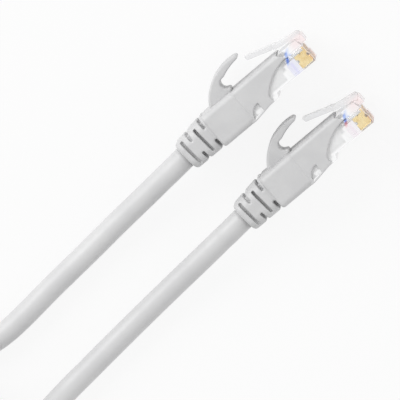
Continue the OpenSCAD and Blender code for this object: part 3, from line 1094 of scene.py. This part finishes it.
@dataclass
class Contacts:
    """Comb of eight gold-plated blades, set out by a node tree."""

    ways: int = 8
    pitch: float = 1.02
    thick: float = 0.35
    front: float = -0.4
    rear: float = -3.7
    bottom: float = 0.25
    top: float = 4.35
    waist: float = 0.48
    notch: float = 0.5
    toe: float = 0.4
    prong: Pair = (0.6, 1.1)
    rim: float = 0.05
    gold: Gold = field(default_factory=Gold)

    def blade(self) -> bpy.types.Mesh:
        """Make one blade with its waist, prongs and softened rim.

        Returns:
            The blade, in the end's frame.
        """
        mid, waist = (self.front + self.rear) / 2, self.bottom + self.waist * (self.top - self.bottom)
        half, deep = self.prong
        turn, quarter = np.linspace(0.0, math.pi, 9), np.linspace(math.pi / 2, math.pi, 5)
        notch = [(self.notch * math.sin(a), self.notch * math.cos(a)) for a in turn]
        toe = [(self.toe * math.sin(a), self.toe * math.cos(a)) for a in quarter]
        outline = [
            (self.rear, self.bottom),
            *((self.front - self.toe + x, self.bottom + self.toe + y) for x, y in toe[::-1]),
            *((self.front - x, waist + y) for x, y in notch[::-1]),
            (self.front, self.top),
            (mid + half, self.top),
            (mid, self.top - deep),
            (mid - half, self.top),
            (self.rear, self.top),
            *((self.rear + x, waist + y) for x, y in notch),
        ]
        work = bmesh.new()
        corners = [work.verts.new((x * MM, y * MM, -self.thick / 2 * MM)) for x, y in outline]
        face = work.faces.new(corners)
        raised = bmesh.ops.extrude_face_region(work, geom=[face])["geom"]
        lifted = [g for g in raised if isinstance(g, bmesh.types.BMVert)]
        bmesh.ops.translate(work, vec=(0.0, 0.0, self.thick * MM), verts=lifted)
        rims = [e for e in work.edges if abs(e.verts[0].co.z - e.verts[1].co.z) < 1e-9]
        bmesh.ops.bevel(work, geom=rims, offset=self.rim * MM, segments=2, affect="EDGES", profile=0.5)
        bmesh.ops.recalc_face_normals(work, faces=work.faces)
        mesh = bpy.data.meshes.new("blade")
        work.to_mesh(mesh)
        work.free()
        return mesh

    def tree(self) -> bpy.types.NodeTree:
        """Make the node tree that sets out blades at a pitch along Z.

        Returns:
            The tree, whose inputs are a blade, their count, their pitch and a finish.
        """
        group = bpy.data.node_groups.new("contact_comb", "GeometryNodeTree")
        kinds = {"Blade": "Geometry", "Count": "Int", "Pitch": "Float", "Finish": "Material"}
        for name, kind in kinds.items():
            group.interface.new_socket(name, in_out="INPUT", socket_type=f"NodeSocket{kind}")
        group.interface.new_socket("Comb", in_out="OUTPUT", socket_type="NodeSocketGeometry")
        g = Nodes(group)
        blade, count, pitch, finish = (g.add("NodeGroupInput", output=name) for name in kinds)
        first = g.add("ShaderNodeCombineXYZ", {"Z": (count - 1.0) * -0.5 * pitch})
        step = g.add("ShaderNodeCombineXYZ", {"Z": pitch})
        row = g.add("GeometryNodeMeshLine", {"Count": count, "Start Location": first, "Offset": step})
        comb = g.add("GeometryNodeInstanceOnPoints", {"Points": row, "Instance": blade})
        comb = g.add("GeometryNodeRealizeInstances", {"Geometry": comb})
        comb = g.add("GeometryNodeSetMaterial", {"Geometry": comb, "Material": finish})
        g.add("NodeGroupOutput", {"Comb": comb})
        return group

    def build(self) -> None:
        """Make the comb of each end."""
        gold, blade, tree = self.gold.make(), self.blade(), self.tree()
        ids = {i.name: i.identifier for i in tree.interface.items_tree if i.in_out == "INPUT"}
        holder = new_piece("comb_holder", blade, gold)
        modifier = holder.modifiers.new("comb", "NODES")
        modifier.node_group = tree
        modifier[ids["Count"]] = self.ways
        modifier[ids["Pitch"]] = self.pitch * MM
        modifier[ids["Finish"]] = gold
        seen = holder.evaluated_get(bpy.context.evaluated_depsgraph_get())
        comb = bpy.data.meshes.new_from_object(seen)
        bpy.data.objects.remove(holder)
        for end in End:
            piece = end_piece("contact_comb", comb, end, gold)
            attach(piece, "cable")
            settle(piece, "gold_contact", *(end.node("contact") + str(i + 1) for i in range(self.ways)))


@dataclass
class Wires:
    """Eight insulated wires that fan out from the jacket to the contacts."""

    ways: int = 8
    pitch: float = 1.02
    radius: float = 0.46
    height: float = 4.05
    end: float = -0.9
    fan_front: float = -8.2
    fan_rear: float = -12.7
    start: float = -15.0
    row: float = 0.7
    crowd: float = 0.5
    seats: Pair = (-6.0, -3.0)
    steps: int = 9
    step: float = 0.35
    sides: int = 20
    colours: tuple[tuple[str, Colour, bool], ...] = (
        ("wire_white_orange", (0.85, 0.4, 0.12), True),
        ("wire_orange", (0.85, 0.38, 0.1), False),
        ("wire_white_green", (0.1, 0.5, 0.22), True),
        ("wire_blue", (0.08, 0.2, 0.75), False),
        ("wire_white_blue", (0.1, 0.22, 0.75), True),
        ("wire_green", (0.08, 0.45, 0.2), False),
        ("wire_white_brown", (0.36, 0.2, 0.1), True),
        ("wire_brown", (0.32, 0.17, 0.08), False),
    )

    def line(self, number: int) -> Grid:
        """Find the middle line of a wire.

        Args:
            number: Number of the wire, from 1.

        Returns:
            Points along it, in millimetres of the end's frame.
        """
        level = AXIS_Y + (self.row if number % 2 == 0 else -self.row)
        place = ((self.ways + 1) / 2 - number) * self.pitch
        packed = place / self.pitch * self.crowd
        points = [(self.start, level, packed)]
        for t in np.linspace(0.0, 1.0, self.steps):
            s = ease(t)
            x = self.fan_rear + (self.fan_front - self.fan_rear) * t
            points.append((x, level * (1 - s) + self.height * s, packed * (1 - s) + place * s))
        points += [(x, self.height, place) for x in (*self.seats, self.end)]
        return smooth_line(points, self.step)

    def build(self) -> None:
        """Make the wires of both ends."""
        for number, (slot, colour, striped) in enumerate(self.colours, 1):
            finish = Insulation(slot.replace("wire", "insulation"), colour, striped).make()
            mesh = swept_tube("wire", self.line(number), self.radius, self.sides)
            for end in End:
                piece = end_piece(slot, mesh, end, finish)
                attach(piece, "cable")
                settle(piece, slot, f"{end.node('wire')}{number}")


# ---- lead -----------------------------------------------------------------


@dataclass
class Hank:
    """The part of the lead that is put away: long turns that lie on each other."""

    at: Pair = (-113.5, -3.0)
    fold: float = 17.5
    run: float = 74.8
    low: float = 3.5
    layer: float = 6.1
    turns: int = 3
    climb: Pair = (0.83, 0.945)
    spacing: float = 2.4
    straight: float = LEAD_DIAMETER

    @property
    def high(self) -> float:
        """Height of the middle of the top layer."""
        return self.low + (self.turns - 1) * self.layer

    def point(self, length: float) -> Vector:
        """Find a point of the middle line: run out, far fold, run back, near fold.

        Args:
            length: Its distance along the line.

        Returns:
            The point, in the row's millimetres.
        """
        bend = math.pi * self.fold
        whole = 2 * (self.run + bend)
        turn, along = divmod(length, whole)
        start, stop = self.climb
        rise = min(max((along / whole - start) / (stop - start), 0.0), 1.0)
        z = self.low + self.layer * (turn + ease(rise))
        x, y = self.at
        if along < self.run:
            return Vector((x - along, y + self.fold, z))
        if along < self.run + bend:
            centre, past = x - self.run, along - self.run
        elif along < 2 * self.run + bend:
            return Vector((x - 2 * self.run - bend + along, y - self.fold, z))
        else:
            centre, past = x, along - 2 * self.run
        a = math.pi / 2 + past / self.fold
        return Vector((centre + self.fold * math.cos(a), y + self.fold * math.sin(a), z))

    def line(self) -> list[Vector]:
        """Follow the hank from the start of its lowest run to the end of its top one.

        Returns:
            Points along it, in the row's millimetres.
        """
        total = self.turns * 2 * (self.run + math.pi * self.fold) - math.pi * self.fold - 1e-6
        count = math.ceil(total / self.spacing)
        points = [self.point(total * k / count) for k in range(count + 1)]
        ahead = Vector((self.straight, 0.0, 0.0))
        return [points[0] + ahead, *points, points[-1] + ahead]


@dataclass
class Ties:
    """Twist ties that hold the hank together, one on each run."""

    hank: Hank
    width: float = 5.0
    thick: float = 0.5
    flank: float = 0.3
    rib: float = 0.5
    hem: float = 0.3
    gap: float = 0.1
    steps: tuple[int, int, int] = (25, 9, 21)
    tail: float = 8.0
    tail_r: float = 0.9
    tail_turns: float = 2.5
    tail_blunt: float = 0.4
    tail_lobes: Pair = (0.68, 0.32)
    tail_sink: float = 0.2
    tail_steps: tuple[int, int] = (61, 28)
    vinyl: Vinyl = field(
        default_factory=lambda: Vinyl("tie_vinyl", (0.86, 0.86, 0.87), (0.8, 0.8, 0.81))
    )

    def band(self) -> bpy.types.Mesh:
        """Make a flat band with a wire along its middle, bent round the layers of one run.

        Returns:
            The band, round the origin.
        """
        reach = LEAD_DIAMETER / 2 + self.gap
        low, high = self.hank.low, self.hank.high
        fold, rise, cut = self.steps
        loop = [(math.cos(a), math.sin(a), high) for a in np.linspace(0, math.pi, fold)]
        loop += [(-1.0, 0.0, z) for z in np.linspace(high, low, rise)[1:-1]]
        loop += [(math.cos(a), math.sin(a), low) for a in np.linspace(math.pi, 2 * math.pi, fold)]
        loop += [(1.0, 0.0, z) for z in np.linspace(low, high, rise)[1:-1]]
        across = np.linspace(-self.width / 2, self.width / 2, cut)
        rib = (self.thick - self.flank) * np.exp(-((across / self.rib) ** 2))
        hem = np.maximum(0.0, (np.abs(across) - self.width / 2 + self.hem) / self.hem)
        edge = 0.5 * self.flank * hem**2
        section = [*zip(across, self.flank + rib - edge), *zip(across[-2:0:-1], edge[-2:0:-1])]
        points = [
            (u, out[0] * (reach + v), out[2] + out[1] * (reach + v)) for out in loop for u, v in section
        ]
        faces = ring_faces(len(loop), len(section), closed=True)
        return mesh_from("tie_band", np.array(points) * MM, faces)

    def twist(self) -> bpy.types.Mesh:
        """Make the two ends of the band, twisted together and lying along the hank.

        Returns:
            The twist, above the origin.
        """
        z = self.hank.high + LEAD_DIAMETER / 2 + self.gap + self.thick + self.tail_r - self.tail_sink
        steps, sides = self.tail_steps
        line = np.array([(x, 0.0, z) for x in np.linspace(0.0, self.tail, steps)])
        mean, swing = self.tail_lobes

        def reach(along: Grid, angle: Grid) -> Grid:
            """Shape two lobes that turn with the run and thin out at both ends.

            Args:
                along: Distance from the start of the twist.
                angle: Angle round its middle.

            Returns:
                The radius there.
            """
            turned = angle - 2 * math.pi * self.tail_turns * along / self.tail
            tip = np.minimum(along, self.tail - along) / self.tail_blunt
            return self.tail_r * np.clip(tip + 0.5, 0.0, 1.0) * (mean + swing * np.cos(2 * turned))

        return swept_tube("tie_twist", line, reach, sides)

    def build(self) -> list[bpy.types.Object]:
        """Make both ties.

        Returns:
            The ties.
        """
        finish = self.vinyl.make()
        both = bmesh.new()
        for mesh in (self.band(), self.twist()):
            both.from_mesh(mesh)
        bmesh.ops.recalc_face_normals(both, faces=both.faces)
        x, y = self.hank.at
        ties = []
        for number, side in enumerate((1.0, -1.0), 1):
            mesh = bpy.data.meshes.new("tie")
            both.to_mesh(mesh)
            place = Vector((x - self.hank.run / 2, y + side * self.hank.fold, 0.0)) * MM
            mesh.transform(Matrix.Translation(place))
            tie = new_piece(f"twist_tie_{number}", mesh, finish)
            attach(tie, "cable")
            settle(tie, "tie_vinyl", f"hank_tie_{number}")
            ties.append(tie)
        both.free()
        return ties


@dataclass
class Lead:
    """The free lead: out of one boot, through its tied hank and back into the other boot."""

    straight: float = LEAD_DIAMETER
    step: float = 1.1
    sides: int = 36
    route_a: tuple[Point, ...] = (
        (-27, 5.8, 6.4), (-34, 5.2, 5.4), (-43, 4.5, 4.1), (-53, 3.6, 3.1), (-65, 2.7, 2.8), (-76, 1.7, 2.8),
        (-81, 1.5, 2.8), (-86, 2.0, 2.9), (-91, 3.7, 3.1), (-97, 7.95, 3.3), (-103, 12.2, 3.5),
    )  # fmt: skip
    route_b: tuple[Point, ...] = (
        (-26, -14.2, 6.4), (-33, -14.8, 5.4), (-42, -15.5, 4.1), (-52, -16.3, 3.1), (-64, -17.3, 2.8),
        (-73, -18.1, 2.8), (-78, -18.5, 3.2), (-82, -18.9, 4.3), (-86, -19.3, 6.0), (-90, -19.7, 8.4),
        (-94, -20.0, 11.1), (-98, -20.3, 13.4), (-102, -20.5, 15.0),
    )  # fmt: skip
    hank: Hank = field(default_factory=Hank)
    jacket: Jacket = field(default_factory=Jacket)

    def exit(self, end: End) -> tuple[Vector, Vector]:
        """Find where the lead leaves a boot.

        Args:
            end: The end that the boot is on.

        Returns:
            The place, in the row's millimetres, and the way the lead heads there.
        """
        back = Vector((-math.cos(RELIEF_BEND), -math.sin(RELIEF_BEND), 0.0))
        at = end.origin / MM + Vector((Boot.rear, AXIS_Y, 0.0)) + Boot.relief_length * back
        return at, back

    def line(self) -> Grid:
        """Find the middle line of the whole lead.

        Returns:
            Points along it, in the row's millimetres.
        """
        (start, away), (stop, back) = (self.exit(end) for end in End)
        points = [start, start + self.straight * away, *map(Vector, self.route_a), *self.hank.line()]
        points += [*map(Vector, reversed(self.route_b)), stop + self.straight * back, stop]
        return smooth_line(points, self.step)

    def build(self, nodes: dict[str, bpy.types.Object]) -> None:
        """Make the lead and its ties, and dress its two ends inside the boots.

        Args:
            nodes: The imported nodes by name.
        """
        material = self.jacket.make()
        line = self.line()
        LOG.info("lead line is %.1f mm long in %d points", run_along(line)[-1], len(line))
        tube = swept_tube("patch_lead", line, LEAD_DIAMETER / 2, self.sides)
        piece = new_piece("patch_lead", tube, material)
        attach(piece, "cable")
        settle(piece, "lead_jacket", "lead_a", "lead_hank", "lead_b")
        Ties(self.hank).build()
        for end in End:
            dress(nodes[end.node("jacket_end")].data, material)


# ---- studio ---------------------------------------------------------------


@dataclass
class Studio:
    """Camera, floor and soft light."""

    aim: Point = (-24.3, -3.6, 9.0)
    toward_nose: float = math.radians(7.0)
    toward_latch: float = math.radians(4.5)
    roll: float = math.radians(40.0)
    distance: float = 1.6
    view_width: float = 0.0946
    sensor: float = 36.0
    clip_end: float = 20.0
    floor_half: float = 3.0
    paper: Colour = (0.8, 0.8, 0.8)
    floor_glow: float = 0.88
    fill: float = 0.68
    lean: float = 0.08
    hollow: float = 0.1
    lamps: tuple[tuple[str, Point, float, float], ...] = (
        ("key", (-0.2, 0.64, 0.45), 0.5, 3.5),
        ("side", (0.6, -0.4, 0.35), 0.6, 1.3),
    )

    def camera(self) -> None:
        """Set the camera up, far away behind a long lens."""
        a, b = self.toward_nose, self.toward_latch
        look = Vector((math.sin(a) * math.cos(b), math.sin(b), math.cos(a) * math.cos(b)))
        along = (Vector((1, 0, 0)) - look.x * look).normalized()
        across = look.cross(along)
        right = math.cos(self.roll) * along - math.sin(self.roll) * across
        up = math.sin(self.roll) * along + math.cos(self.roll) * across
        lens = bpy.data.cameras.new("camera")
        lens.sensor_width = self.sensor
        lens.lens = self.sensor * self.distance / self.view_width
        lens.clip_end = self.clip_end
        camera = bpy.data.objects.new("camera", lens)
        turn = Matrix((right, up, look)).transposed().to_4x4()
        camera.matrix_world = Matrix.Translation(Vector(self.aim) * MM + look * self.distance) @ turn
        bpy.context.scene.collection.objects.link(camera)
        bpy.context.scene.camera = camera

    def lamp(self, name: str, at: Point, size: float, power: float) -> None:
        """Hang a square soft lamp that faces the object.

        Args:
            name: Name of the lamp.
            at: Its place, in metres.
            size: Length of its sides, in metres.
            power: Its power, in watts.
        """
        light = bpy.data.lights.new(name, "AREA")
        light.size, light.energy = size, power
        lamp = bpy.data.objects.new(name, light)
        lamp.location = at
        lamp.rotation_euler = (-Vector(at)).to_track_quat("-Z", "Y").to_euler()
        bpy.context.scene.collection.objects.link(lamp)

    def floor(self) -> None:
        """Lay a wide pale floor that is seen as white and keeps a faint shadow."""
        s = Shader("floor_paper")
        paper = s.add("ShaderNodeBsdfDiffuse", {"Color": self.paper})
        glow = s.add("ShaderNodeEmission", {"Color": (1.0, 1.0, 1.0), "Strength": 1.0})
        seen = s.rays("Camera", "Glossy", "Transmission") * self.floor_glow
        s.close(s.add("ShaderNodeMixShader", {0: seen, 1: paper, 2: glow}))
        r = self.floor_half
        corners = np.array([(-r, -r, 0), (r, -r, 0), (r, r, 0), (-r, r, 0)])
        mesh = mesh_from("floor", corners, [(0, 1, 2, 3)])
        new_piece("floor", mesh, s.material)

    def world(self) -> None:
        """White surroundings for what is seen, and an even fill for what is lit."""
        world = bpy.data.worlds.new("surroundings")
        bpy.context.scene.world = world
        world.use_nodes = True
        w = Nodes(world.node_tree)
        toward = w.add("ShaderNodeTexCoord", output="Generated")
        sideways = self.lean * w.part(toward, "Y")
        strength = self.fill * (1.0 + sideways - self.hollow * w.part(toward, "Z"))
        fill, white = (
            w.add("ShaderNodeBackground", {"Color": (1.0, 1.0, 1.0), "Strength": value})
            for value in (strength, 1.0)
        )
        seen = w.rays("Camera", "Glossy", "Transmission")
        surface = w.add("ShaderNodeMixShader", {0: seen, 1: fill, 2: white})
        w.add("ShaderNodeOutputWorld", {"Surface": surface})

    def build(self) -> None:
        """Set up the whole studio."""
        bpy.context.scene.view_settings.view_transform = "Standard"
        self.camera()
        self.floor()
        self.world()
        for lamp in self.lamps:
            self.lamp(*lamp)


def main() -> None:
    """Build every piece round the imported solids."""
    logging.basicConfig(level=logging.INFO, format="%(message)s")
    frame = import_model()
    nodes = frame["nodes"]
    Studio().build()
    Lead().build(nodes)
    Boot().build()
    PlugDress().build(nodes)
    Contacts().build()
    Wires().build()


if __name__ == "__main__":
    main()
